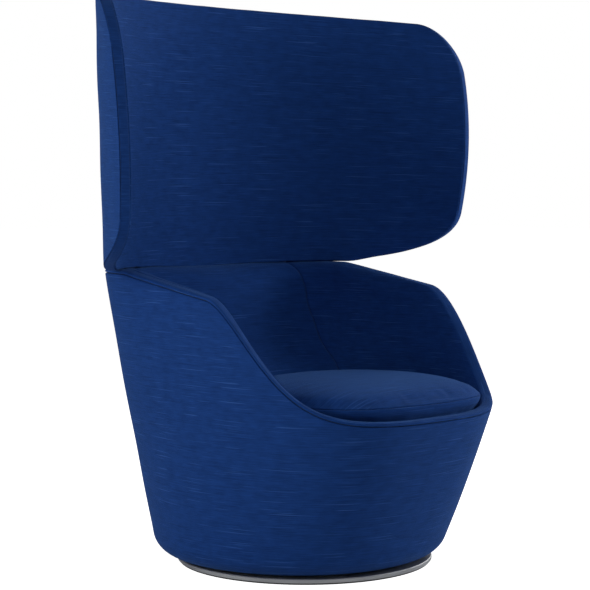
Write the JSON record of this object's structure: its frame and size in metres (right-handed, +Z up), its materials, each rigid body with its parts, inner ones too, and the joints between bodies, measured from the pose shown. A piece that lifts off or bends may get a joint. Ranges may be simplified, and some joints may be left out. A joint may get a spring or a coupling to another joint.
{
  "type": "acoustic high back lounge chair",
  "caption": "Upholstered tub chair with a tall wrapped acoustic hood, a loose seat cushion and a round metal floor plate that the tub swivels on.",
  "frame": {"origin": "On the floor, on the axis that the tub turns on, at the middle of the round floor plate.", "axes": "+Z is up. The chair faces -Y, so the sitter's right hand is towards -X and the hood is behind, towards +Y. +X is the sitter's left."},
  "size_m": [1.1372, 0.835, 1.325],
  "materials": {
    "woven_fabric": "woven, fine horizontal slubs",
    "deck_felt": "felt",
    "webbing": "woven elastic",
    "dust_cloth": "non-woven",
    "shell_plastic": "moulded, matt",
    "plywood": "birch ply, unfinished",
    "plate_steel": "brushed, grey",
    "swivel_steel": "ground and zinc plated",
    "floor_rubber": "matt",
    "zip_tape": "matt"
  },
  "bodies": {
    "base": {"floor_pad": "floor_rubber", "base_plate": "plate_steel", "spindle": "swivel_steel", "spindle_screws": "swivel_steel", "lower_race": "swivel_steel", "bearing_balls": "swivel_steel", "thrust_washer": "swivel_steel", "spindle_nut": "swivel_steel"},
    "tub": {"upper_race": "swivel_steel", "swivel_hub": "swivel_steel", "hub_bolts": "swivel_steel", "bottom_board": "plywood", "dust_cover": "dust_cloth", "support_ribs": "plywood", "seat_frame": "plywood", "cross_straps": "webbing", "long_straps": "webbing", "deck_pad": "deck_felt", "shell_core": "shell_plastic", "outer_cover": "woven_fabric", "rim_band": "woven_fabric", "back_pad": "woven_fabric", "left_side_pad": "woven_fabric", "right_side_pad": "woven_fabric", "front_pad": "woven_fabric", "left_hood_bar": "swivel_steel", "right_hood_bar": "swivel_steel", "bar_clamps": "swivel_steel", "hood_core": "shell_plastic", "hood_inner_pad": "woven_fabric", "hood_outer_pad": "woven_fabric", "hood_edge_band": "woven_fabric"},
    "cushion": {"seat_cushion": "woven_fabric", "cushion_zip": "zip_tape"}
  },
  "joints": [
    {"name": "swivel", "type": "hinge", "parent": "base", "child": "tub", "pos_m": [0, 0, 0], "axis": [0, 0, 1], "continuous": true},
    {"name": "cushion_lift", "type": "slide", "parent": "tub", "child": "cushion", "axis": [0, 0, 1], "range_m": [0, 1.05]}
  ]
}
